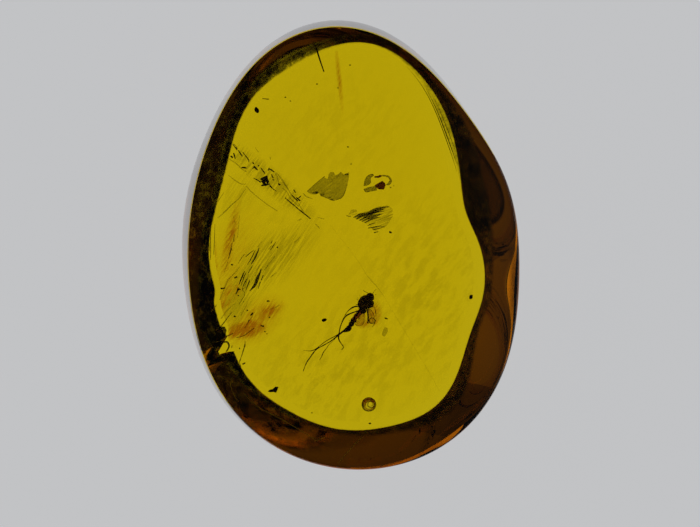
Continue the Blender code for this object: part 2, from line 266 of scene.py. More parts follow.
amber_resin = new_finish("amber_resin", {
    "Base Color": (1, 1, 1, 1), "Roughness": 0.0, "IOR": AMBER_IOR, "Transmission Weight": 1.0,
})
where = add(amber_resin, "TexCoord", gives="Object")
ground, crusted, rubbed = (add(amber_resin, "Attribute", {"attribute_name": name}, gives="Fac")
                           for name in ("ground", "crust", "worn"))
grit = add(amber_resin, "TexNoise", {"Scale": 1 / (0.15 * MM), "Detail": 3.0, "Roughness": 0.6},
           {"Vector": where})
matt = add(amber_resin, "Math", {"operation": "MULTIPLY"}, {0: ground, 1: grit})
uneven = add(amber_resin, "TexNoise", {"Scale": 1 / (0.7 * MM), "Detail": 5.0, "Roughness": 0.7},
             {"Vector": where})
rough = add(amber_resin, "MapRange", {"From Min": 0.35, "From Max": 0.65, "To Min": 0.02, "To Max": SCUFFED},
            {"Value": uneven})
scuffs = add(amber_resin, "Math", {"operation": "MULTIPLY"}, {0: rubbed, 1: rough})
haze = add(amber_resin, "Math", {"operation": "MULTIPLY_ADD", 1: 0.4}, {0: matt, 2: scuffs})
# Painted shade: where the band is fully ground, the resin's colour is darkened in flecks, standing in for the
# little light that leaves the frosted foot. The crust's red-brown tint is the resin's own.
full = add(amber_resin, "MapRange", {"From Min": 0.75, "From Max": 1.0}, {"Value": ground})
shade_flecks = add(amber_resin, "MapRange", {"From Min": 0.42, "From Max": 0.58, "To Min": 0.75, "To Max": 1.0},
             {"Value": grit})
painted_band_shade = add(amber_resin, "Math", {"operation": "MULTIPLY"}, {0: full, 1: shade_flecks})
weathered = add(amber_resin, "MixRGB", {"Color1": (1, 1, 1, 1), "Color2": linear(CRUST_TINT)},
                {"Fac": crusted})
crust_and_band_shade = add(amber_resin, "MixRGB", {"Color2": linear(BAND_SHADE_TINT)}, {"Fac": painted_band_shade, "Color1": weathered})
feed(amber_resin, {"Base Color": crust_and_band_shade, "Roughness": haze})
colour, density = AMBER_ABSORBS
depth = add(amber_resin, "VolumeAbsorption", {"Color": linear(colour), "Density": density})
amber_resin.node_tree.links.new(depth, amber_resin.node_tree.nodes["Material Output"].inputs["Volume"])
amber.data.materials.append(amber_resin)
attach(amber, "root")
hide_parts("amber_lower", "amber_upper")

# Ground band. The foot of the underside was ground by hand and never polished, so little light leaves it.
# That shade is painted: a dark film just inside the surface, thick or thin in flecks, stands in for it. The
# film also darkens the right, where the crust is thickest.

SHADE_FILM_IN = 0.03  # mm inside the surface
SHADE_FILM_THICKNESS = 0.01
SHADE_FILM_FROM = 0.02  # the least amount of either that still has a film
RIND_DARK = 0.25  # how much light the rind stops
# Painted shade: the film's dark colour, standing in for the ground band's shade.
SHADE_FILM_LOOK = {"Base Color": linear("1C1206"), "Roughness": 1.0, "Specular IOR Level": 0.0}

nothing_selected()
amber.select_set(True)
bpy.context.view_layer.objects.active = amber
bpy.ops.object.duplicate()
shade_film = bpy.context.object
shade_film.name = "ground_shade_film"
for key in tuple(shade_film.keys()):
    del shade_film[key]
edit(shade_film)
bpy.ops.mesh.select_all(action="DESELECT")
bpy.ops.object.mode_set(mode="OBJECT")
amounts = [shade_film.data.attributes[name].data for name in ("ground", "rind")]
covered = [max(first.value, second.value) for first, second in zip(*amounts)]
for face in shade_film.data.polygons:
    face.select = max(covered[vert] for vert in face.vertices) < SHADE_FILM_FROM
bpy.ops.object.mode_set(mode="EDIT")
bpy.ops.mesh.select_mode(type="FACE")
bpy.ops.mesh.delete(type="FACE")
bpy.ops.mesh.select_all(action="SELECT")
bpy.ops.transform.shrink_fatten(value=-SHADE_FILM_IN * MM)
bpy.ops.object.mode_set(mode="OBJECT")
shell = shade_film.modifiers.new("shell", "SOLIDIFY")
shell.thickness = SHADE_FILM_THICKNESS * MM
bpy.ops.object.modifier_apply(modifier=shell.name)

# Painted shade: a dull, dark film in flecks stands in for the ground band's shade, coarser where the polish
# is poor.
shade_film_finish = new_finish("shade_film_finish", SHADE_FILM_LOOK)
where = add(shade_film_finish, "TexCoord", gives="Object")
ground, crusted, rubbed = (add(shade_film_finish, "Attribute", {"attribute_name": name}, gives="Fac")
                           for name in ("ground", "rind", "worn"))
clouds = add(shade_film_finish, "TexNoise", {"Scale": 1 / (0.6 * MM), "Detail": 6.0, "Roughness": 0.8},
             {"Vector": where})
flecks = add(shade_film_finish, "MapRange", {"From Min": 0.38, "From Max": 0.62, "To Min": 0.05, "To Max": 0.65},
             {"Value": clouds})
coarse = add(shade_film_finish, "MapRange", {"From Max": 0.7, "To Min": 0.9, "To Max": 2.0}, {"Value": rubbed})
dense = add(shade_film_finish, "Math", {"operation": "MULTIPLY"}, {0: flecks, 1: coarse})
thick = add(shade_film_finish, "Math", {"operation": "MULTIPLY"}, {0: dense, 1: ground})
either = add(shade_film_finish, "Math", {"operation": "MULTIPLY_ADD", 1: RIND_DARK}, {0: crusted, 2: thick})
feed(shade_film_finish, {"Alpha": either})
shade_film.data.materials.clear()
shade_film.data.materials.append(shade_film_finish)
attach(shade_film, "root")

# Gnat. A true fly with a body 2.8 mm long and its legs drawn back. Its skin is chitin, black where the body
# is thick. It lies on its side between the two flows, as it was caught, with its head to the upper right.

flow_low, flow_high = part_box("bud_scale")
FLOW_Z = (flow_low.z + flow_high.z) / 2 / MM
# Each part's middle and half-lengths in mm, and its turn.
THORAX = ((0.76, -3.52, 0.0), (0.5, 0.38, 0.42), math.radians(50))
CHEST = ((1.06, -3.58, 0.0), (0.25, 0.27, 0.28), 0.0)
HUMP = ((0.66, -3.98, 0.0), (0.19, 0.23, 0.24), math.radians(10))
HEAD = ((1.07, -3.2, 0.02), (0.26, 0.25, 0.28), math.radians(40))
EYES = (((1.05, -3.12, 0.16), (0.16, 0.15, 0.15), 0.6), ((1.17, -3.24, -0.15), (0.15, 0.17, 0.15), 0.6))
ABDOMEN = (
    (0.58, -3.98), (0.48, -4.1), (0.38, -4.22), (0.28, -4.33), (0.18, -4.46), (0.09, -4.59), (0.02, -4.71),
    (-0.05, -4.82), (-0.12, -4.93), (-0.19, -5.06), (-0.26, -5.17), (-0.36, -5.25), (-0.55, -5.29),
)
SEGMENTS = (0.13, 0.19, 0.12, 0.19, 0.12, 0.2, 0.11, 0.19, 0.1, 0.18, 0.14, 0.06, 0.03)
HARD_FROM = 5  # the last segments let no light through
# Each leg's points from hip to foot, over the flow plane, and its half-thickness along it.
LEGS = (
    (((0.46, -3.98, 0.1), (0.04, -4.62, 0.24), (-0.3, -5.1, 0.2), (-0.75, -5.41, 0.2),
     (-1.14, -5.76, 0.15), (-1.59, -6.03, 0.1), (-2.09, -6.28, 0.08), (-2.31, -6.5, 0.05),
     (-2.54, -6.85, 0.03), (-2.73, -7.1, 0.0), (-2.83, -7.34, -0.02), (-2.93, -7.64, -0.05)),
     (0.05, 0.05, 0.045, 0.05, 0.032, 0.026, 0.028, 0.034, 0.034, 0.03, 0.018, 0.02)),
    (((0.5, -3.92, -0.1), (0.0, -4.68, -0.24), (-0.55, -5.28, -0.15), (-1.05, -5.56, -0.05),
     (-1.49, -5.78, -0.05), (-1.84, -6.03, 0.0), (-2.09, -6.25, -0.05), (-2.34, -6.4, -0.1),
     (-2.64, -6.44, -0.12), (-2.91, -6.39, -0.15)),
     (0.04, 0.04, 0.04, 0.028, 0.022, 0.02, 0.026, 0.024, 0.02, 0.014)),
    (((0.45, -3.75, 0.15), (0.23, -3.74, 0.22), (0.0, -3.84, 0.25), (-0.25, -4.02, 0.28),
     (-0.45, -4.32, 0.3), (-0.65, -4.76, 0.3), (-0.75, -5.06, 0.3), (-0.77, -5.31, 0.3),
     (-0.85, -5.68, 0.28), (-0.7, -5.95, 0.25), (-0.5, -6.18, 0.2), (-0.57, -6.32, 0.2),
     (-0.67, -6.39, 0.2)),
     (0.03, 0.045, 0.04, 0.02, 0.016, 0.016, 0.02, 0.034, 0.052, 0.026, 0.022, 0.026, 0.016)),
    (((0.42, -4.02, -0.1), (0.2, -4.07, -0.2), (-0.05, -4.17, -0.25), (-0.35, -4.29, -0.3),
     (-0.5, -4.51, -0.3), (-0.67, -4.86, -0.3), (-0.75, -5.26, -0.3), (-1.0, -5.7, -0.3),
     (-1.44, -6.08, -0.3), (-1.52, -6.25, -0.3), (-1.74, -6.5, -0.25), (-1.84, -6.8, -0.22),
     (-1.96, -6.97, -0.2)),
     (0.03, 0.036, 0.034, 0.046, 0.022, 0.018, 0.016, 0.01, 0.012, 0.02, 0.026, 0.02, 0.014)),
    (((0.86, -3.8, 0.1), (0.9, -3.91, 0.15), (0.95, -4.26, 0.28), (0.96, -4.56, 0.3),
     (0.95, -4.78, 0.25)), (0.05, 0.05, 0.04, 0.034, 0.048)),
    (((1.16, -3.66, -0.1), (1.35, -3.78, -0.15), (1.4, -4.06, -0.2), (1.44, -4.36, -0.25),
     (1.39, -4.72, -0.25), (1.19, -5.0, -0.2)), (0.03, 0.012, 0.02, 0.01, 0.018, 0.01)),
)
FEELERS = (
    ((0.98, -2.98, 0.05), (0.86, -2.9, 0.1), (0.72, -2.86, 0.13), (0.66, -2.76, 0.15)),
    ((1.2, -3.02, -0.05), (1.29, -2.93, -0.08), (1.34, -2.82, -0.1), (1.46, -2.7, -0.12)),
)
BEADS = (0.018, 0.026, 0.014, 0.022, 0.012, 0.02, 0.01)
WINGS = (
    ((0.62, -3.96), (0.72, -4.12), (0.78, -4.36), (0.76, -4.62), (0.66, -4.84), (0.48, -4.94),
     (0.26, -4.93), (0.18, -4.84), (0.28, -4.66), (0.42, -4.44), (0.52, -4.18)),
    ((0.98, -3.84), (1.18, -3.98), (1.32, -4.26), (1.34, -4.54), (1.24, -4.76), (1.06, -4.8),
     (0.98, -4.62), (0.96, -4.34), (0.94, -4.08)),
)
WING_RISE = (0.1, -0.12)
WING_THICKNESS = 0.012
WING_KNOT = (1.19, -4.61, 0.17)  # a fold in the wing's tip: its middle and half-width
VEIN, WING_EDGE, FOLD_EDGE = (0.014, 0.006), (0.012, 0.009), (0.022, 0.03, 0.018)  # half-thickness along each
VEIN_BEND = 0.04
HAIRS = 90
HAIR = (0.01, 0.003)
HAIR_LENGTHS = (0.1, 0.22)
HAIR_ROOTS = 0.85  # how far out they stand, as a share of the part's half-length
HAIR_LEAN = 0.5
ABDOMEN_HALF = 0.18
GLINT_SPECKS = 26
GLINT_SIZES = (0.014, 0.026)


def at(x, y, rise=0.0):
    """A point in metres, from its distances in mm from the pebble's middle and over the flow plane."""
    return Vector((x - middle_x, y - middle_y, FLOW_Z + rise)) * MM


def ball(middle, halves, turn=0.0, segments=32):
    """An ellipsoid: its middle and half-lengths in mm, turned about Z."""
    nothing_selected()
    bpy.ops.mesh.primitive_uv_sphere_add(segments=segments, ring_count=segments // 2, radius=MM,
                                         location=at(*middle), rotation=(0, 0, turn), scale=halves)
    return bpy.context.object


def strands(lines):
    """Tapering strands in one mesh: for each, the points it runs through and its half-thickness along it."""
    nothing_selected()
    bpy.ops.curve.primitive_nurbs_path_add(location=(0, 0, 0))
    bundle = bpy.context.object
    curve = bundle.data
    curve.splines.clear()
    curve.bevel_depth = MM
    curve.bevel_resolution = 1
    curve.use_fill_caps = True
    for points, thickness in lines:
        spline = curve.splines.new("NURBS")
        spline.points.add(len(points) - 1)
        spline.order_u = min(3, len(points))
        spline.resolution_u = 4
        spline.use_endpoint_u = True
        given = np.atleast_1d(thickness)
        halves = np.interp(np.linspace(0, len(given) - 1, len(points)), range(len(given)), given)
        for point, place, half in zip(spline.points, points, halves):
            point.co = (*at(*place), 1.0)
            point.radius = half
    bpy.ops.object.convert(target="MESH")
    return bpy.context.object


def circle(x, y, radius, rise, corners):
    """Points round a level circle."""
    return [(x + radius * math.cos(turn), y + radius * math.sin(turn), rise)
            for turn in np.linspace(0, 2 * math.pi, corners + 1)]


def plate(outline, thickness, rise=0.0, cuts=2):
    """A flat scrap: a disc of as many corners is pulled to this outline, thickened and cut up finely."""
    nothing_selected()
    bpy.ops.mesh.primitive_circle_add(vertices=len(outline), radius=MM, fill_type="NGON")
    scrap = bpy.context.object
    for vert, (x, y) in zip(scrap.data.vertices, outline):
        vert.co = at(x, y, rise - thickness / 2)
    edit(scrap)
    bpy.ops.mesh.quads_convert_to_tris(ngon_method="BEAUTY")
    bpy.ops.mesh.subdivide(number_cuts=cuts)
    bpy.ops.mesh.extrude_region_move(TRANSFORM_OT_translate={"value": (0, 0, thickness * MM)})
    bpy.ops.object.mode_set(mode="OBJECT")
    return scrap


def roughen(piece, grain, depth, direction="NORMAL"):
    """Breaks up a surface with lumps of this size and depth, in mm."""
    edit(piece)
    bpy.ops.object.mode_set(mode="OBJECT")
    bpy.ops.object.transform_apply()
    lumps = bpy.data.textures.new("lumps", "CLOUDS")
    lumps.noise_scale = grain * MM
    lumps.noise_depth = 3
    change = piece.modifiers.new("lumps", "DISPLACE")
    change.texture = lumps
    change.texture_coords = "GLOBAL"
    change.direction = direction
    change.strength = depth * MM
    bpy.ops.object.modifier_apply(modifier=change.name)
    return piece


def joined(pieces):
    """These pieces as one mesh."""
    nothing_selected()
    for piece in pieces:
        piece.select_set(True)
    bpy.context.view_layer.objects.active = pieces[0]
    bpy.ops.object.join()
    return pieces[0]


def seal(piece, name, finish, slot, *nodes):
    """Welds a piece, turns its faces outward, names and finishes it, and fixes it in the pebble."""
    edit(piece)
    bpy.ops.mesh.remove_doubles(threshold=0.0005 * MM)
    bpy.ops.mesh.normals_make_consistent(inside=False)
    bpy.ops.object.mode_set(mode="OBJECT")
    bpy.ops.object.transform_apply()
    bpy.ops.object.shade_smooth_by_angle(angle=math.radians(50))
    piece.name = name
    piece.data.materials.clear()
    piece.data.materials.append(finish)
    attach(piece, "root")
    if nodes:
        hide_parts(*nodes)


def mottled(name, dark, light, grain, settings=(), pits=0.0):
    """A finish whose colour wanders between two in patches of this size in mm, pitted this deep."""
    finish = new_finish(name, settings)
    where = add(finish, "TexCoord", gives="Object")
    patches = add(finish, "TexNoise", {"Scale": 1 / (grain * MM), "Detail": 4.0}, {"Vector": where})
    shade = add(finish, "ValToRGB", {}, {"Fac": patches})
    for stop, code in zip(shade.node.color_ramp.elements, (dark, light)):
        stop.color = linear(code)
    feed(finish, {"Base Color": shade})
    if pits:
        dents = add(finish, "Bump", {"Strength": 0.4, "Distance": pits * MM}, {"Height": patches})
        feed(finish, {"Normal": dents})
    return finish


# Chitin: hard, dark and faintly glossy where the body is thick, red-brown and clear where it is thin.
CLEAR = {"Roughness": 0.0, "IOR": 1.0, "Transmission Weight": 1.0}  # tints the light and doesn't bend it
chitin = mottled("chitin", "020101", "140A04", 0.12, {"Roughness": 0.5, "IOR": 1.56, "Coat Weight": 0.1},
                 pits=0.02)
thin_chitin = mottled("thin_chitin", "100603", "8E5220", 0.14, CLEAR)

body = [roughen(ball(*part), 0.09, 0.07) for part in (THORAX, CHEST, HUMP, HEAD)]
eyes = [ball(*eye, segments=24) for eye in EYES]
hard_end = strands([(ABDOMEN[HARD_FROM:], SEGMENTS[HARD_FROM:])])
seal(joined([*body, *eyes, hard_end]), "gnat_body", chitin, "chitin", "gnat")
soft_end = HARD_FROM + 2
abdomen = strands([(ABDOMEN[:soft_end], SEGMENTS[:soft_end])])
seal(roughen(abdomen, 0.1, 0.03), "gnat_abdomen", thin_chitin, "chitin")
seal(roughen(strands(LEGS), 0.1, 0.03), "gnat_legs", chitin, "chitin")
seal(strands([(feeler, BEADS) for feeler in FEELERS]), "gnat_feelers", chitin, "chitin")

chance = random.Random(4)
hairs = []
for number in range(HAIRS):  # short bristles, two on the thorax for each on the abdomen
    if number % 3:
        (x, y, _), (half_x, half_y, _), _ = THORAX
    else:
        x, y = ABDOMEN[chance.randrange(len(ABDOMEN) - 1)]
        half_x = half_y = ABDOMEN_HALF
    angle = chance.uniform(0, 2 * math.pi)
    x += HAIR_ROOTS * half_x * math.cos(angle)
    y += HAIR_ROOTS * half_y * math.sin(angle)
    rise = chance.uniform(-0.15, 0.2)
    reach = chance.uniform(*HAIR_LENGTHS)
    tip = (x + reach * math.cos(angle - HAIR_LEAN), y + reach * math.sin(angle - HAIR_LEAN), rise + 0.03)
    hairs.append((((x, y, rise), tip), HAIR))
seal(strands(hairs), "gnat_hairs", chitin, "chitin")

# Painted glints: pale grains on the thorax and head stand in for the highlights on the chitin, lit from
# above.
glints = []
for number in range(GLINT_SPECKS):
    (x, y, _), (half_x, half_y, height), turn = (THORAX, HEAD, CHEST)[number % 3]
    angle, out = chance.uniform(0, 2 * math.pi), chance.uniform(0.1, 0.85)
    across, along = half_x * out * math.cos(angle), half_y * out * math.sin(angle)
    x += across * math.cos(turn) - along * math.sin(turn)
    y += across * math.sin(turn) + along * math.cos(turn)
    size = chance.uniform(*GLINT_SIZES)
    glints.append(ball((x, y, height * math.sqrt(1 - out * out) + 0.02), (size, size, size), segments=8))
pale_glint = mottled("pale_glint", "6E6A50", "FFFFFF", 0.05, {"Roughness": 0.8})
seal(joined(glints), "gnat_glints", pale_glint, "chitin")

# Wing: a membrane so thin that it only browns the light, stiffened by red-brown veins.
wing_film = mottled("wing_film", "A66E2E", "FFFBE6", 0.16, CLEAR)
wing_vein = mottled("wing_vein", "3A1206", "6A2A0C", 0.08, {"Roughness": 0.4, "Alpha": 0.55})
wings = [plate(outline, WING_THICKNESS, rise) for outline, rise in zip(WINGS, WING_RISE)]
seal(joined(wings), "gnat_wings", wing_film, "chitin")
veins = []
for outline, rise in zip(WINGS, WING_RISE):
    root = outline[0]
    for corner in outline[2:-1:2]:
        bend = ((root[0] + corner[0]) / 2 + VEIN_BEND, (root[1] + corner[1]) / 2, rise)
        veins.append((((*root, rise), bend, (*corner, rise)), VEIN))
    veins.append(([(*corner, rise) for corner in (*outline, root)], WING_EDGE))
veins.append((circle(*WING_KNOT, WING_RISE[1], 12), FOLD_EDGE))
seal(strands(veins), "gnat_wing_veins", wing_vein, "chitin")

# Bud scale. A papery scale off a bud or flower, torn across its broad end and soiled along its lower edge.
# It is dry leaf tissue, thin enough to let most of the light through, with fine veins along it.

BUD_SCALE = (
    (-2.73, 3.25), (-2.38, 3.59), (-2.04, 3.9), (-1.67, 4.18), (-1.61, 4.07), (-1.47, 4.03), (-1.44, 4.29),
    (-1.31, 4.44), (-1.11, 4.44), (-1.04, 4.25), (-0.88, 4.29), (-0.69, 4.45), (-0.49, 4.29), (-0.19, 4.43),
    (-0.19, 4.09), (-0.28, 3.7), (-0.38, 3.39), (-0.49, 3.04), (-0.69, 2.82), (-1.0, 2.73), (-1.19, 2.69),
    (-1.42, 2.81), (-1.69, 2.92), (-1.92, 3.0), (-2.0, 3.16), (-2.23, 3.06), (-2.46, 3.08), (-2.61, 3.16),
)
BUD_SOIL = (  # patches of soil stuck to it: middle and half-lengths in mm
    ((-2.24, 3.17, 0.03), (0.2, 0.07, 0.05)), ((-2.12, 3.2, 0.05), (0.12, 0.08, 0.05)),
    ((-1.8, 3.06, 0.04), (0.13, 0.05, 0.04)), ((-1.7, 3.1, 0.04), (0.05, 0.04, 0.04)),
    ((-1.36, 2.88, 0.05), (0.09, 0.04, 0.04)), ((-1.26, 2.76, 0.04), (0.12, 0.04, 0.04)),
    ((-0.33, 4.3, 0.03), (0.14, 0.05, 0.03)),
)
BUD_CURL = ((-2.95, 3.13, 0.02), (-2.82, 2.96, 0.02), (-2.63, 2.87, 0.02), (-2.4, 2.82, 0.02))
PAPER = 0.05  # thickness in mm
RIM_RISE = 0.02


def grained(finish, turn, length, width):
    """A pattern of flecks this long and wide in mm, their length turned this many degrees from X."""
    where = add(finish, "TexCoord", gives="Object")
    along = add(finish, "Mapping", {"vector_type": "TEXTURE", "Rotation": (0, 0, math.radians(turn)),
                                    "Scale": (length * MM, width * MM, MM)}, {"Vector": where})
    return add(finish, "TexNoise", {"Scale": 1.0, "Detail": 5.0, "Roughness": 0.6}, {"Vector": along})


dry_leaf = new_finish("dry_leaf", {"Roughness": 0.6, "Base Color": linear("2E2406")})
thin = add(dry_leaf, "MapRange", {"From Min": 0.3, "From Max": 0.7, "To Min": 0.24, "To Max": 0.38},
           {"Value": grained(dry_leaf, 38, 0.9, 0.16)})
feed(dry_leaf, {"Alpha": thin})
seal(roughen(plate(BUD_SCALE, PAPER), 1.2, 0.1, "Z"), "bud_scale_leaf", dry_leaf, "leaf", "bud_scale")

# Soil: dull crumbs that stop most of the light.
soil = mottled("dark_soil", "0C0803", "4A3608", 0.06, {"Roughness": 0.9, "Alpha": 0.4})
clods = [roughen(ball(*clod, segments=16), 0.08, 0.05) for clod in BUD_SOIL]
lower_rim = [(*corner, RIM_RISE) for corner in BUD_SCALE[15:24]]
upper_rim = [(*corner, RIM_RISE) for corner in BUD_SCALE[:4]]
clods.append(strands([(lower_rim, (0.012, 0.03, 0.02, 0.03)), (upper_rim, (0.02, 0.012, 0.02)),
                      (BUD_CURL, (0.03, 0.022, 0.03, 0.012))]))
seal(joined(clods), "bud_scale_soil", soil, "leaf")

# Seed husk. The split shell of a small seed: two curved sides and a loose tongue, with the dark core still
# held in its lower side. The shell is thin and olive, the core is solid.

HUSK_LEFT = (
    (0.7, 3.58), (0.73, 3.85), (0.84, 4.12), (0.99, 4.26), (1.22, 4.32), (1.29, 4.22), (1.11, 4.12),
    (1.07, 3.97), (1.13, 3.81), (1.0, 3.66), (0.81, 3.6),
)
HUSK_RIGHT = (
    (1.77, 4.25), (2.1, 4.22), (2.25, 4.08), (2.33, 3.88), (2.25, 3.7), (2.12, 3.62), (2.0, 3.66),
    (2.12, 3.8), (2.2, 3.92), (2.12, 4.08), (1.96, 4.15), (1.8, 4.16),
)
HUSK_TONGUE = (
    (0.7, 3.41), (0.92, 3.5), (1.33, 3.58), (1.45, 3.46), (1.48, 3.32), (1.08, 3.25), (0.85, 3.19),
    (0.74, 3.27),
)
HUSK_CORE = (
    (1.33, 3.62), (1.56, 3.77), (1.78, 3.89), (1.92, 3.77), (1.98, 3.61), (1.92, 3.5), (1.85, 3.36),
    (1.59, 3.38), (1.41, 3.5),
)
HUSK_FLECKS = (
    (((1.33, 4.14, 0.05), (1.55, 4.12, 0.05), (1.77, 4.22, 0.05)), (0.04, 0.1, 0.03)),
    (((2.2, 3.52, 0.05), (2.3, 3.46, 0.05)), 0.03), (((2.4, 3.6, 0.05), (2.45, 3.57, 0.05)), 0.02),
)

husk_shell = new_finish("husk_shell", {"Roughness": 0.5, "Base Color": linear("241A05")})
where = add(husk_shell, "TexCoord", gives="Object")
cells = add(husk_shell, "TexVoronoi", {"Scale": 1 / (0.12 * MM)}, {"Vector": where})
thin = add(husk_shell, "MapRange", {"From Max": 0.6, "To Min": 0.24, "To Max": 0.48}, {"Value": cells})
feed(husk_shell, {"Alpha": thin})
sides_of_husk = [plate(HUSK_LEFT, 0.1), plate(HUSK_RIGHT, 0.05), plate(HUSK_TONGUE, 0.06, 0.05)]
rims = [
    ([(*corner, 0.03) for corner in HUSK_LEFT], (0.016, 0.022, 0.012)),
    ([(*corner, 0.02) for corner in HUSK_RIGHT[:7]], (0.01, 0.016, 0.022)),
    ([(*corner, 0.06) for corner in (*HUSK_TONGUE[4:], *HUSK_TONGUE[:1])], (0.01, 0.014)),
]
husk = joined([*sides_of_husk, strands(rims)])
seal(roughen(husk, 0.5, 0.08, "Z"), "seed_husk_shell", husk_shell, "bark", "seed_husk")
core = joined([plate(HUSK_CORE, 0.3, cuts=3), strands(HUSK_FLECKS)])
seed_meat = mottled("seed_meat", "2A1414", "6A3C38", 0.12, CLEAR)  # purple-brown, and lets some light through
seal(roughen(core, 0.12, 0.09), "seed_core", seed_meat, "bark")

# Bark shred. A few parallel fibres of bark, stuck together where they are darkest and frayed at both ends.
# A film of bark still holds them, so thin that it shows only as faint streaks between them.

BARK_FIBRES = (  # points in mm, and the half-thickness of each bundle along it
    (((0.09, 1.65), (0.44, 1.85), (0.93, 1.9), (1.3, 2.13), (1.79, 2.27), (2.19, 2.32)),
     (0.03, 0.1, 0.05, 0.09, 0.05, 0.01)),
    (((0.25, 1.55), (0.55, 1.75), (0.93, 1.82), (1.45, 2.07), (1.9, 2.17)), (0.03, 0.09, 0.05, 0.1, 0.02)),
    (((0.44, 1.47), (0.71, 1.61), (1.08, 1.86), (1.49, 2.0), (1.94, 2.05)),
     (0.025, 0.06, 0.09, 0.04, 0.01)),
    (((0.59, 1.41), (0.86, 1.55), (1.16, 1.69), (1.46, 1.78), (1.83, 1.89)),
     (0.025, 0.05, 0.11, 0.08, 0.01)),
    (((0.75, 1.34), (1.01, 1.47), (1.31, 1.62), (1.68, 1.68)), (0.02, 0.05, 0.06, 0.01)),
    (((0.94, 1.16), (1.16, 1.27), (1.39, 1.33)), (0.03, 0.035, 0.01)),
    (((0.97, 1.0), (1.28, 1.06), (1.61, 1.11), (1.95, 1.11)), (0.03, 0.04, 0.02, 0.008)),
    (((1.24, 0.9), (1.5, 0.93), (1.88, 1.05)), (0.03, 0.03, 0.008)),
    (((1.32, 0.72), (1.58, 0.78)), (0.04, 0.02)),
    (((-0.34, 1.79), (-0.22, 1.72), (-0.06, 1.73)), (0.02, 0.035, 0.02)),
)
BARK_SHEET = (
    (0.2, 1.62), (0.36, 1.9), (0.95, 2.05), (1.5, 2.32), (2.05, 2.42), (2.38, 2.2), (2.4, 1.7),
    (2.15, 1.25), (1.9, 0.98), (1.4, 0.8), (1.15, 1.0), (1.0, 1.25), (0.8, 1.3),
)
BARK_TAG = ((-0.22, 1.83), (-0.06, 2.14), (0.28, 2.14), (0.32, 1.87), (0.01, 1.79))

bark_film = new_finish("bark_film", {"Roughness": 0.7, "Base Color": linear("1E1404")})
thin = add(bark_film, "MapRange", {"From Min": 0.38, "From Max": 0.68, "To Min": 0.02, "To Max": 0.32},
           {"Value": grained(bark_film, 22, 1.2, 0.1)})
feed(bark_film, {"Alpha": thin})
sheets = joined([plate(BARK_SHEET, 0.04, -0.05), plate(BARK_TAG, 0.04)])
seal(roughen(sheets, 0.8, 0.12, "Z"), "bark_sheet", bark_film, "bark", "bark_shred")
bark_fibre = mottled("bark_fibre", "120A04", "3A220C", 0.1, {"Roughness": 0.75, "Alpha": 0.6})
seal(strands(BARK_FIBRES), "bark_fibres", bark_fibre, "bark")

# Flow seam. Grime settled on the first flow of resin before the second one covered it, and the seam dragged
# it out into dark splinters and a branched clot, with fainter creases running down past the gnat.

GRIME = (  # each strand's points in mm, and its half-thickness along it
    (((-7.15, 6.14), (-7.04, 5.96), (-6.88, 5.77)), (0.02, 0.05, 0.02)),
    (((-7.11, 6.19), (-6.95, 5.96), (-6.86, 5.84)), (0.01, 0.03, 0.01)),
    (((-6.83, 5.77), (-6.72, 5.58), (-6.58, 5.39)), (0.02, 0.05, 0.02)),
    (((-6.56, 5.65), (-6.38, 5.39), (-6.22, 5.21), (-6.19, 5.04)), (0.02, 0.035, 0.02)),
    (((-7.11, 5.6), (-7.06, 5.44), (-7.02, 5.23)), (0.03, 0.07, 0.02)),
    (((-7.29, 5.42), (-7.16, 5.3)), (0.05, 0.06)),
    (((-6.65, 4.71), (-6.49, 4.71), (-6.33, 4.67)), (0.03, 0.08, 0.02)),
    (((-5.97, 5.02), (-5.92, 4.93)), 0.04), (((-5.99, 4.62), (-5.85, 4.79)), (0.02, 0.05)),
    (((-5.85, 4.76), (-5.76, 4.6), (-5.67, 4.55)), (0.05, 0.06, 0.02)),
    (((-5.65, 4.85), (-5.59, 4.79)), 0.03),
    (((-5.49, 4.69), (-5.35, 4.51), (-5.24, 4.32)), (0.02, 0.05, 0.02)),
    (((-5.03, 4.67), (-4.87, 4.58), (-4.69, 4.44)), (0.02, 0.06, 0.03)),
    (((-5.05, 4.53), (-4.98, 4.62)), 0.03),
    (((-4.87, 4.32), (-4.83, 4.2), (-4.74, 4.08)), (0.02, 0.05, 0.02)),
    (((-4.78, 4.01), (-4.71, 3.92)), 0.03), (((-4.46, 3.73), (-4.33, 3.64)), (0.04, 0.05)),
    (((-3.53, 3.36), (-3.41, 3.17)), 0.03),
    (((-3.66, 3.03), (-3.46, 2.85), (-3.28, 2.66)), (0.02, 0.05, 0.03)),
    (((-3.44, 2.75), (-3.23, 2.82), (-3.09, 2.99)), (0.03, 0.04, 0.02)),
    (((-3.37, 2.89), (-3.14, 2.68)), (0.02, 0.05)),
    (((-4.05, 2.87), (-3.83, 2.66), (-3.6, 2.47), (-3.32, 2.23), (-3.05, 2.0), (-2.77, 1.79),
     (-2.52, 1.58)), (0.02, 0.045, 0.02, 0.04, 0.045, 0.02)),
)
CLOT = (
    (((-5.51, 3.96), (-5.33, 4.08), (-5.1, 4.2)), (0.06, 0.09, 0.03)),
    (((-5.47, 3.59), (-5.19, 3.66), (-4.94, 3.71)), (0.03, 0.09, 0.03)),
    (((-5.42, 3.92), (-5.26, 3.78), (-5.24, 3.61)), (0.1, 0.11, 0.05)),
    (((-5.19, 4.2), (-5.1, 3.97), (-5.08, 3.73)), (0.05, 0.1, 0.06)),
    (((-5.28, 4.01), (-5.01, 3.78)), (0.12, 0.07)),
    (((-5.92, 4.06), (-5.72, 3.96), (-5.49, 3.8)), (0.015, 0.03, 0.05)),
    (((-4.97, 3.6), (-4.78, 3.4), (-4.53, 3.24)), (0.05, 0.025, 0.01)),
)
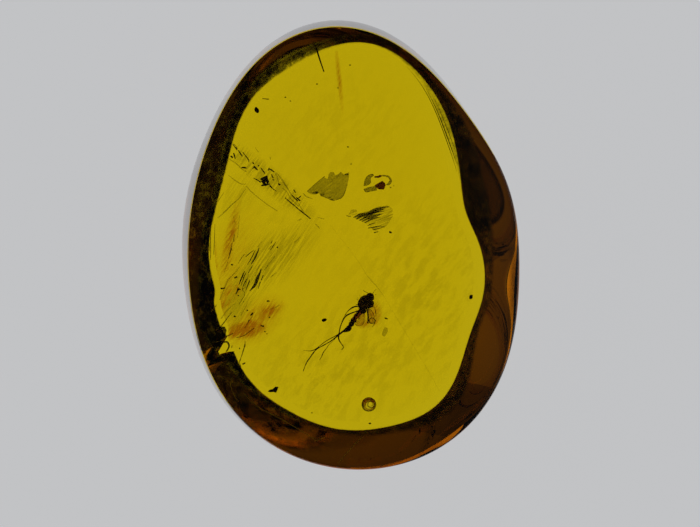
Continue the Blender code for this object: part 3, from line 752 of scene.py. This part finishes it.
CREASES = (
    (((-7.43, 5.27), (-7.2, 5.11), (-6.97, 4.97), (-6.77, 4.76), (-6.56, 4.55), (-6.33, 4.45)),
     (0.04, 0.03)),
    (((-4.67, 4.44), (-4.53, 4.25), (-4.46, 3.92), (-4.42, 3.73)), (0.02, 0.04, 0.03)),
    (((-4.55, 4.39), (-4.32, 4.11), (-4.1, 3.78), (-3.82, 3.36)), (0.03, 0.05, 0.03)),
    (((-4.16, 3.81), (-3.96, 3.52), (-3.8, 3.27), (-3.66, 3.03)), (0.03, 0.04, 0.03)),
    (((-4.19, 3.45), (-4.01, 3.31), (-3.87, 3.13), (-3.78, 2.89), (-3.6, 2.7), (-3.23, 2.33)), 0.03),
    (((-3.28, 2.56), (-3.09, 2.23), (-2.91, 1.95)), 0.03), (((-3.33, 1.43), (-3.07, 1.57)), (0.02, 0.04)),
    (((-2.24, 1.27), (-2.08, 1.11), (-1.96, 0.97)), (0.03, 0.04, 0.02)),
    (((-2.12, 1.67), (-1.7, 1.56)), (0.02, 0.03)),
    (((-7.44, 4.24), (-7.16, 4.0), (-6.84, 3.77), (-6.57, 3.65), (-6.36, 3.7)), (0.02, 0.04, 0.02)),
    (((-6.36, 3.56), (-6.16, 3.3), (-5.79, 2.97), (-5.38, 2.65), (-4.97, 2.32), (-4.52, 2.05)), 0.03),
    (((-6.39, 3.39), (-6.66, 3.02), (-6.85, 2.73), (-7.26, 2.45), (-7.54, 2.07), (-7.81, 1.84),
     (-8.09, 1.6)), (0.02, 0.03, 0.03)),
    (((-7.72, 3.15), (-7.9, 2.87), (-8.09, 2.59)), (0.02, 0.03)),
    (((-6.99, 2.64), (-7.4, 2.21), (-7.77, 1.93)), (0.02, 0.03)), (((-4.92, 5.37), (-4.92, 5.21)), 0.03),
    (((-5.8, 5.93), (-5.74, 5.77), (-5.6, 5.65)), (0.02, 0.03, 0.02)),
    (((-1.34, 1.2), (0.3, -0.83), (0.86, -1.86), (1.06, -2.06), (1.25, -2.31), (1.45, -2.49),
     (1.96, -3.25)), (0.005, 0.006, 0.008, 0.03, 0.026, 0.006)),
    (((1.96, -3.25), (3.41, -5.76), (4.29, -7.26), (5.19, -8.91)), (0.005, 0.008, 0.005)),
)

# Grime stops nearly all light. What settled in a crease is a dust too thin to do more than dim it.
seam_grime = mottled("seam_grime", "0A0603", "2A1C06", 0.1, {"Roughness": 0.9, "Alpha": 0.9})
crease_dust = mottled("crease_dust", "120E02", "4A3C06", 0.2, {"Roughness": 0.9, "Alpha": 0.22})
seal(roughen(strands(GRIME), 0.12, 0.05), "seam_grime", seam_grime, "bark")
seal(roughen(strands(CLOT), 0.12, 0.08), "seam_clot", seam_grime, "bark", "crumb_seam")
seal(strands(CREASES), "seam_creases", crease_dust, "bark")

# Drag fan. To the left the flow pulled its dirt into short slanting splinters, thickest in the middle. They
# are rotten wood and soil. Between them run fainter traces, and streaks that iron stained like rust.

FAN = (
    (((-7.08, 0.62), (-7.12, 0.39), (-7.12, 0.16)), (0.01, 0.03, 0.02)),
    (((-7.27, -0.22), (-7.23, -0.37)), 0.02),
    (((-7.29, -0.41), (-7.39, -0.68), (-7.46, -0.91)), (0.01, 0.03, 0.01)),
    (((-4.61, 0.18), (-4.76, -0.11), (-4.97, -0.34)), (0.01, 0.04, 0.01)),
    (((-4.82, 0.22), (-4.91, 0.05)), 0.02), (((-4.87, -0.07), (-5.06, -0.3)), (0.02, 0.01)),
    (((-4.55, -0.15), (-4.47, -0.2)), 0.04),
    (((-5.6, -0.2), (-5.71, -0.49), (-5.86, -0.84), (-6.09, -1.2)), (0.02, 0.04, 0.06, 0.02)),
    (((-5.83, -0.34), (-6.01, -0.72), (-6.3, -1.22)), (0.015, 0.045, 0.015)),
    (((-5.9, -0.32), (-6.13, -0.49), (-6.41, -0.74)), (0.01, 0.035, 0.02)),
    (((-6.47, -0.57), (-6.7, -0.83), (-6.85, -1.14)), (0.01, 0.03, 0.01)),
    (((-5.99, -1.26), (-6.15, -1.53), (-6.28, -1.76)), (0.01, 0.035, 0.01)),
    (((-6.47, -1.6), (-6.62, -1.91), (-6.81, -2.43)), (0.02, 0.07, 0.02)),
    (((-6.39, -1.68), (-6.51, -1.95), (-6.7, -2.5)), (0.01, 0.05, 0.01)),
    (((-6.33, -2.06), (-6.47, -2.26), (-6.6, -2.64)), (0.01, 0.04, 0.02)),
    (((-6.54, -2.64), (-6.62, -2.79)), (0.03, 0.02)), (((-6.81, -2.6), (-7.0, -3.0)), (0.07, 0.03)),
    (((-6.85, -2.72), (-6.69, -2.7)), 0.03),
    (((-5.48, -1.45), (-5.55, -1.72), (-5.71, -2.03), (-5.8, -2.37), (-5.97, -2.6), (-6.18, -2.8)),
     (0.02, 0.05, 0.1, 0.1, 0.07, 0.02)),
    (((-5.36, -1.84), (-5.48, -2.16)), 0.03), (((-5.53, -2.26), (-5.66, -2.68)), (0.03, 0.015)),
    (((-6.14, -2.1), (-6.24, -2.33), (-6.39, -2.76)), (0.015, 0.05, 0.015)),
    (((-7.29, -1.2), (-7.16, -1.22)), 0.045), (((-7.08, -2.02), (-6.91, -1.93)), 0.05),
    (((-7.92, -2.63), (-7.77, -2.67), (-7.65, -2.6)), (0.03, 0.07, 0.03)),
    (((-5.14, -3.42), (-4.97, -3.42)), 0.05), (((-6.34, -3.98), (-6.26, -3.97)), 0.045),
    (((-5.96, -4.11), (-6.04, -4.23), (-6.11, -4.3)), (0.04, 0.06, 0.03)),
    (((-7.11, -4.32), (-6.99, -4.36)), (0.05, 0.04)), (((-6.19, -4.55), (-6.26, -4.7)), (0.04, 0.02)),
    (((-5.5, -4.9), (-5.29, -4.94)), (0.04, 0.05)), (((-5.0, -4.43), (-4.93, -4.39)), 0.04),
    (((-5.27, -5.23), (-5.19, -5.29)), 0.03), (((-5.13, -5.37), (-5.09, -5.42)), 0.03),
    (((-6.54, -3.45), (-6.49, -3.46)), 0.03), (((-6.88, -3.07), (-6.8, -3.08)), 0.035),
)
FAN_TRACES = (
    (((-6.78, -1.33), (-7.0, -1.68), (-7.5, -2.14), (-7.57, -2.37), (-7.73, -2.79), (-7.96, -3.33)),
     (0.02, 0.05, 0.03)),
    (((-4.36, -3.64), (-4.51, -3.76), (-4.7, -3.85), (-4.91, -3.91)), (0.02, 0.05, 0.02)),
    (((-5.43, 0.18), (-5.71, -0.15)), (0.02, 0.03)), (((-3.16, 0.43), (-3.5, 0.12)), (0.02, 0.03)),
    (((-4.64, -0.69), (-5.29, -1.53)), (0.02, 0.04)), (((-5.56, -1.22), (-5.86, -1.91)), (0.03, 0.05)),
    (((-6.24, -1.79), (-6.47, -2.64)), (0.03, 0.05)), (((-4.56, -1.69), (-4.94, -1.99)), (0.02, 0.04)),
    (((-6.27, -3.51), (-6.69, -4.28)), (0.02, 0.04)),
    (((-7.0, -3.55), (-7.38, -3.74), (-7.88, -4.47)), (0.02, 0.04)),
    (((-5.85, -4.05), (-6.22, -4.67), (-6.45, -5.05)), (0.02, 0.04)),
    (((-7.08, 1.79), (-7.16, 1.55)), 0.02), (((-7.06, 1.44), (-7.04, 1.26)), 0.02),
    (((-6.78, 1.79), (-6.85, 1.01), (-6.89, 0.39)), (0.015, 0.02)),
)
RUST = (
    (((-7.2, 0.16), (-7.31, -0.3), (-7.42, -0.83)), (0.01, 0.05, 0.045, 0.015)),
    (((-7.46, -0.95), (-7.54, -1.22), (-7.69, -1.68)), (0.01, 0.015, 0.008)),
    (((-8.65, 0.63), (-8.63, 0.24), (-8.59, -0.07), (-8.57, -0.41)), (0.01, 0.03, 0.02)),
    (((-8.25, 1.24), (-8.27, 0.63), (-8.29, 0.05), (-8.32, -0.6)), (0.01, 0.025, 0.02)),
    (((-8.46, 1.79), (-8.5, 1.01), (-8.52, 0.24), (-8.5, -0.53), (-8.53, -0.91)), (0.01, 0.03, 0.02)),
    (((-6.62, -2.64), (-6.39, -2.95), (-6.61, -3.29), (-6.8, -3.6)), (0.015, 0.02)),
    (((-7.21, -4.05), (-7.45, -4.38), (-7.74, -4.76), (-7.97, -5.05), (-8.15, -5.25)), (0.02, 0.04, 0.03)),
    (((-7.65, -4.99), (-7.86, -5.08), (-8.09, -5.24)), (0.02, 0.03)),
    (((-8.11, -5.82), (-7.84, -5.71), (-7.49, -5.51), (-7.14, -5.36)), (0.02, 0.03)),
    (((-6.95, -5.61), (-6.68, -5.57), (-6.37, -5.44), (-6.11, -5.21), (-5.88, -5.06)), (0.02, 0.03)),
)

splinter_dirt = mottled("splinter_dirt", "0C0A02", "2A2206", 0.15, {"Roughness": 0.9, "Alpha": 0.75})
rust_stain = mottled("rust_stain", "2A0C02", "5A1E06", 0.2, {"Roughness": 0.9, "Alpha": 0.5})
seal(roughen(strands(FAN), 0.12, 0.04), "fan_splinters", splinter_dirt, "bark")
seal(strands(FAN_TRACES), "fan_traces", crease_dust, "bark")
seal(strands(RUST), "fan_rust", rust_stain, "bark")

# Broken corner. At the lower left a flake has gone from the back. Around the break lie black crusts of
# dirt, a curled flake of them, and cracks in the resin, painted pale as a highlight for the light their
# faces scatter.

CRUSTS = (
    ((-8.18, -5.22), (-7.97, -4.96), (-7.65, -4.96), (-7.54, -5.19), (-7.6, -5.48), (-7.97, -5.83),
     (-8.18, -5.74)),
    ((-8.32, -5.89), (-7.86, -5.95), (-8.03, -6.12), (-8.27, -6.24), (-8.44, -6.12)),
)
CURL = ((-7.92, -6.01), (-7.57, -5.8), (-7.36, -6.06), (-7.45, -6.33), (-7.58, -6.48))
CURL_HALF = (0.04, 0.06, 0.05, 0.03)
CRACK_DIRT = (
    (((-6.44, -5.8), (-6.4, -6.01), (-6.56, -6.47), (-6.67, -6.82), (-6.76, -7.08)), (0.015, 0.03, 0.02)),
    (((-6.59, -7.23), (-6.41, -7.14)), (0.05, 0.03)), (((-6.78, -6.24), (-6.74, -6.32)), 0.03),
    (((-6.76, -7.1), (-6.68, -7.41)), 0.02),
)
PALE_CRACKS = (
    (((-7.91, -4.93), (-8.06, -5.05), (-8.18, -5.19)), (0.02, 0.03, 0.02)),
    (((-7.54, -5.56), (-7.77, -5.69), (-7.97, -5.8), (-8.15, -5.89)), (0.02, 0.035, 0.02)),
    (((-8.15, -3.63), (-8.32, -3.89), (-8.49, -4.06)), (0.02, 0.035, 0.02)),
    (((-7.21, -6.09), (-7.23, -6.24)), 0.03),
    (((-0.87, -13.3), (0.14, -11.99), (0.6, -11.65)), (0.02, 0.03, 0.02)),
    (((-6.47, -9.05), (-5.85, -9.8), (-4.48, -10.42), (-3.23, -11.16), (-2.24, -11.79)),
     (0.03, 0.02, 0.03, 0.02)),
    (((-7.34, -8.3), (-7.3, -8.9), (-6.84, -9.5)), (0.02, 0.03, 0.02)),
    (((-2.3, -11.9), (-1.6, -11.65)), (0.03, 0.02)),
)
FRACTURE = (  # a flake of resin that came half loose
    (-6.97, -8.68), (-6.72, -8.55), (-5.85, -9.67), (-5.35, -10.17), (-4.48, -10.67), (-5.97, -10.67),
    (-6.59, -10.17), (-6.97, -9.3),
)
RED_SPOT = ((-7.7, -8.5), (-7.58, -8.88), (-7.48, -9.3))
RED_HALF = (0.05, 0.14, 0.06)

# The crust is dirt baked hard and almost black. A crack's pale colour is a painted highlight for the light
# its faces throw back, a loose flake dims what is under it, and one spot of the resin is stained blood red.
black_crust = mottled("black_crust", "060301", "3A1E08", 0.15, {"Roughness": 0.95, "Alpha": 0.72})
crack_glint = mottled("crack_glint", "B8AC78", "F4ECC8", 0.1, {"Roughness": 0.6, "Alpha": 0.6})
loose_resin = mottled("loose_resin", "1A1404", "4A4020", 0.3, {"Roughness": 0.5, "Alpha": 0.35})
red_resin = mottled("red_resin", "3A0804", "5A140A", 0.1, {"Roughness": 0.6, "Alpha": 0.7})
crusts = joined([*(plate(outline, 0.08) for outline in CRUSTS), strands(CRACK_DIRT)])
seal(roughen(crusts, 0.25, 0.1), "corner_crusts", black_crust, "bark")
curl = roughen(strands([(CURL, CURL_HALF)]), 0.15, 0.05)
seal(curl, "corner_curl", black_crust, "bark", "curled_flake")
seal(strands(PALE_CRACKS), "corner_cracks", crack_glint, "amber")
seal(plate(FRACTURE, 0.03), "corner_fracture", loose_resin, "amber")
seal(strands([(RED_SPOT, RED_HALF)]), "corner_red_spot", red_resin, "bark")

# Rims. Polishing grit, a grey-black paste, has caught in lines along the facet at the upper right. Rings of
# the same dark colour over the air bubble are painted shade, for the dark rims its wall makes by bending
# light.

FACET_LINES = ((-0.1, 0.02), (0.02, 0.028), (0.2, 0.014))  # mm outside the back's line, half-thickness
FACET_RISE = 0.25  # mm over the back
FACET_ENDS = (3, 5)  # sides by which each line starts later and ends sooner than the one before
LINE_TIP = 0.005
BUBBLE_SHADE_RINGS = ((0.0, 0.41, 0.03), (0.13, 0.2, 0.022))  # painted shade rings over the bubble: shift right, radius, half-thickness
BUBBLE_SHADE_RISE = 0.05  # mm over the bubble

facet_edge = [side for side in range(SIDES) if 0.1 < facet[side]]
later, sooner = FACET_ENDS
grit_and_shade_lines = []
for number, (beside, half) in enumerate(FACET_LINES):
    line = []
    for side in facet_edge[number * later:len(facet_edge) - number * sooner:3]:
        out = back_line[side] + beside
        line.append((out * math.cos(angles[side]), out * math.sin(angles[side]), FACET_RISE - FLOW_Z))
    grit_and_shade_lines.append((line, (LINE_TIP, half, half, LINE_TIP)))
(x, y, z), (_, _, tall) = BUBBLE
# Painted shade: dark rings over the bubble stand in for the rims that its wall darkens by bending the light.
for shift, radius, half in BUBBLE_SHADE_RINGS:
    grit_and_shade_lines.append((circle(x + shift, y, radius, z + tall + BUBBLE_SHADE_RISE - FLOW_Z, 24), half))
grit_and_shade = mottled("grit_and_shade", "0A0802", "1E1804", 0.15, {"Roughness": 0.9, "Alpha": 0.75})
seal(strands(grit_and_shade_lines), "rim_grit_and_shade", grit_and_shade, "amber")

# Crumbs. Loose bits of humus, a bristle and a torn flake, each lying where it fell into the resin. They are
# black and dull. Only one, a smear of sap near the gnat, lets the light through.

FLAKE = (
    (-5.06, -8.87), (-4.93, -8.77), (-4.76, -8.72), (-4.61, -8.57), (-4.41, -8.59), (-4.48, -8.75),
    (-4.56, -8.95), (-4.71, -8.9), (-4.91, -8.92),
)
SMUDGE = ((2.03, -5.02), (1.95, -5.33), (1.84, -5.52))
SMUDGE_HALF = (0.1, 0.17, 0.09)
SPECKS = (  # middle and half-length in mm
    ((-4.02, 9.0), 0.06), ((-3.72, 8.77), 0.05), ((-2.13, 9.8), 0.06), ((-0.16, 10.95), 0.06),
    ((-0.87, 9.56), 0.05), ((-0.26, 5.97), 0.06), ((-0.07, 4.93), 0.05), ((1.04, -10.8), 0.08),
    ((-2.42, -10.16), 0.05), ((-5.72, 8.23), 0.06), ((1.42, -3.05), 0.03),
)
DASHES = (
    (((1.93, -4.44), (2.02, -4.47), (2.12, -4.51)), (0.03, 0.06, 0.02)),
    (((-5.39, 8.92), (-5.0, 8.88)), (0.02, 0.03)),
)

humus = mottled("humus", "040302", "1E1606", 0.08, {"Roughness": 0.9})
for name in ("crumb_left", "crumb_edge", "crumb_small", "crumb_top", "bristle"):
    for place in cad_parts[name].material_slots:
        place.material = humus
seal(roughen(plate(FLAKE, 0.06), 0.2, 0.06), "torn_flake", humus, "bark", "crumb_low")
smear = mottled("smear", "3A3404", "6A5E0C", 0.2, {"Roughness": 0.9, "Alpha": 0.25})
seal(strands([(SMUDGE, SMUDGE_HALF)]), "smudge", smear, "bark", "crumb_right")
specks = [ball((*middle, 0.0), (half, 0.7 * half, 0.5 * half), segments=10) for middle, half in SPECKS]
seal(joined([*specks, strands(DASHES)]), "specks", humus, "bark")

# Flow film. The skin that dried on the first flow: clouded in streaks along the flow, browned at the left
# and around the gnat. It is far too thin to feel, and only tints the light.

FILM_SHARE = 0.975  # of the flat back's outline
FILM_RISE, FILM_THICKNESS = -0.5, 0.01
CLOUDED, BROWNED = "D4D4C8", "C68E3C"
BROWN_SPOTS = (  # middle and half-lengths in mm, turn in degrees, strength
    ((-6.5, -5.15), (1.5, 0.6), 10, 1.6), ((-5.9, -4.6), (2.4, 1.4), 35, 0.8),
    ((-4.9, -3.95), (1.0, 0.6), 30, 0.7), ((-7.25, 0.6), (0.4, 2.8), -11, 0.9),
    ((-7.4, -3.3), (1.5, 0.8), 57, 0.9), ((-8.45, -0.8), (0.4, 3.2), 3, 1.2),
    ((-7.3, -1.8), (1.8, 4.8), -15, 0.4), ((-7.9, -6.3), (0.8, 0.7), 0, 1.6),
    ((1.45, -4.15), (0.38, 0.95), 0, 1.1), ((0.8, -4.8), (0.7, 0.3), 10, 0.9),
    ((0.9, -4.3), (0.9, 1.0), 0, 0.4), ((-0.8, 10.1), (0.18, 2.3), 6, 0.9),
)
DRAGGED_SPOTS = (
    ((-5.9, -1.6), (1.3, 3.2), -33, 2.2), ((-4.0, -0.6), (1.3, 3.2), -42, 1.3),
    ((-5.0, 4.0), (0.8, 4.2), 49, 2.2), ((-7.0, -4.0), (1.0, 1.6), -33, 1.5),
    ((-6.8, 3.0), (1.2, 1.8), -40, 0.8),
)
CLOUD_SPOTS = (
    ((4.0, -3.0), (6.5, 8.0), 0, 1.5), ((-2.0, -8.0), (6.0, 5.0), 0, 1.5),
    ((-1.0, 7.0), (6.0, 5.0), 0, 0.7), ((-4.0, 1.0), (4.0, 4.0), 0, 0.8),
)


def spots(finish, places):
    """How strongly soft oval spots cover a point, added up."""
    where = add(finish, "TexCoord", gives="Object")
    total = None
    for (x, y), (long, short), turn, strength in places:
        near = add(finish, "Mapping", {
            "vector_type": "TEXTURE", "Location": at(x, y), "Rotation": (0, 0, math.radians(turn)),
            "Scale": (long * MM, short * MM, 1.0)}, {"Vector": where})
        fade = add(finish, "TexGradient", {"gradient_type": "SPHERICAL"}, {"Vector": near}, gives="Fac")
        so_far = {2: total} if total else {}
        total = add(finish, "Math", {"operation": "MULTIPLY_ADD", 1: strength, 2: 0.0}, {0: fade, **so_far})
    return total


flow_film = new_finish("flow_film", CLEAR)
streaks = add(flow_film, "MapRange", {"From Min": 0.4, "From Max": 0.6},
              {"Value": grained(flow_film, 57, 1.6, 0.13)})
blotches = add(flow_film, "MapRange", {"From Min": 0.44, "From Max": 0.6, "To Max": 0.34},
               {"Value": grained(flow_film, 57, 1.1, 0.45)})
stained = add(flow_film, "MapRange", {"From Min": 0.38, "From Max": 0.62, "To Min": 0.4, "To Max": 1.2},
              {"Value": grained(flow_film, 55, 0.7, 0.12)})
tint = None
for places, pattern, code in ((BROWN_SPOTS, stained, BROWNED), (DRAGGED_SPOTS, streaks, CLOUDED),
                              (CLOUD_SPOTS, blotches, CLOUDED)):
    cover = add(flow_film, "Math", {"operation": "MULTIPLY", "use_clamp": True},
                {0: spots(flow_film, places), 1: pattern})
    under = {"Color1": tint} if tint else {}
    tint = add(flow_film, "MixRGB", {"Color1": (1, 1, 1, 1), "Color2": linear(code)}, {"Fac": cover, **under})
feed(flow_film, {"Base Color": tint})
outline = [(FILM_SHARE * out * math.cos(angle), FILM_SHARE * out * math.sin(angle))
           for out, angle in zip(back_line[::3], angles[::3])]
seal(plate(outline, FILM_THICKNESS, FILM_RISE, cuts=1), "flow_film", flow_film, "amber")

# Floor. A pale sheet lit evenly from below, as a light table is, so that it shines through the amber. It
# isn't part of the pebble.

FLOOR_SIZE = 3.0
FLOOR_Z = -0.03 * MM  # just clear of the pebble's back

nothing_selected()
bpy.ops.mesh.primitive_plane_add(size=FLOOR_SIZE, location=(0, 0, FLOOR_Z))
floor = bpy.context.object
floor.name = "floor"
bpy.ops.object.transform_apply()
pale_sheet = new_finish("pale_sheet", {
    "Base Color": linear("959698"), "Roughness": 0.9, "Specular IOR Level": 0.0,
    "Emission Color": linear("C0C1C3"), "Emission Strength": 1.0,
})
floor.data.materials.append(pale_sheet)

# Light and camera. A dim room, and two wide soft lights that stay out of the dome's reflection. The camera
# looks straight down.

LIGHTS = (  # place in metres, size in metres, watts
    ((-0.9, 0.3, 0.5), 0.8, 0.12),
    ((0.2, 1.0, 0.45), 0.8, 0.06),
)
FRAME_WIDTH = 700  # pixels
PIXEL = 28.05 / 451 * MM  # what one pixel covers at the height that the camera is set for
FRAME_MIDDLE = (-2, -19)  # what the middle of the frame looks at, in pixels from the middle of the plan
SET_FOR_Z = 4.9  # mm
LENS, SENSOR = 180.0, 36.0

world = bpy.data.worlds.new("dim_room")
bpy.context.scene.world = world
world.use_nodes = True
seen = add(world, "TexCoord", gives="Generated")
to_x, to_y, to_z = add(world, "SeparateXYZ", {}, {0: seen}).node.outputs
leftward = add(world, "MapRange", {"From Min": -1.0, "From Max": 1.0, "To Min": 0.2, "To Max": 0.1},
               {"Value": to_x})
along_y = add(world, "Math", {"operation": "ABSOLUTE"}, {0: to_y})
dim_ends = add(world, "MapRange", {"To Min": 1.0, "To Max": 0.45}, {"Value": along_y})
overhead = add(world, "MapRange", {"From Min": 0.1, "From Max": 0.8, "To Min": 1.0, "To Max": 0.1},
               {"Value": to_z})
low = add(world, "Math", {"operation": "MULTIPLY"}, {0: leftward, 1: dim_ends})
glow = add(world, "Math", {"operation": "MULTIPLY"}, {0: low, 1: overhead})
world.node_tree.links.new(glow, world.node_tree.nodes["Background"].inputs["Color"])

for number, (place, size, watts) in enumerate(LIGHTS):
    bpy.ops.object.light_add(type="AREA", location=place)
    light = bpy.context.object
    light.name = f"soft_light_{number}"
    light.data.size = size
    light.data.energy = watts
    light.rotation_euler = Vector(place).to_track_quat("Z", "Y").to_euler()

bpy.ops.object.camera_add(rotation=(0, 0, 0))
camera = bpy.context.object
camera.data.lens, camera.data.sensor_width = LENS, SENSOR
camera.data.clip_start = 0.001
camera.location = (FRAME_MIDDLE[0] * PIXEL - middle_x * MM, FRAME_MIDDLE[1] * PIXEL - middle_y * MM,
                   SET_FOR_Z * MM + FRAME_WIDTH * PIXEL * LENS / SENSOR)
bpy.context.scene.camera = camera
bpy.context.scene.view_settings.view_transform = "Standard"
bpy.context.scene.view_settings.look = "None"
bpy.context.scene.cycles.max_bounces = 24
bpy.context.scene.cycles.transmission_bounces = 24
bpy.context.scene.cycles.transparent_max_bounces = 48
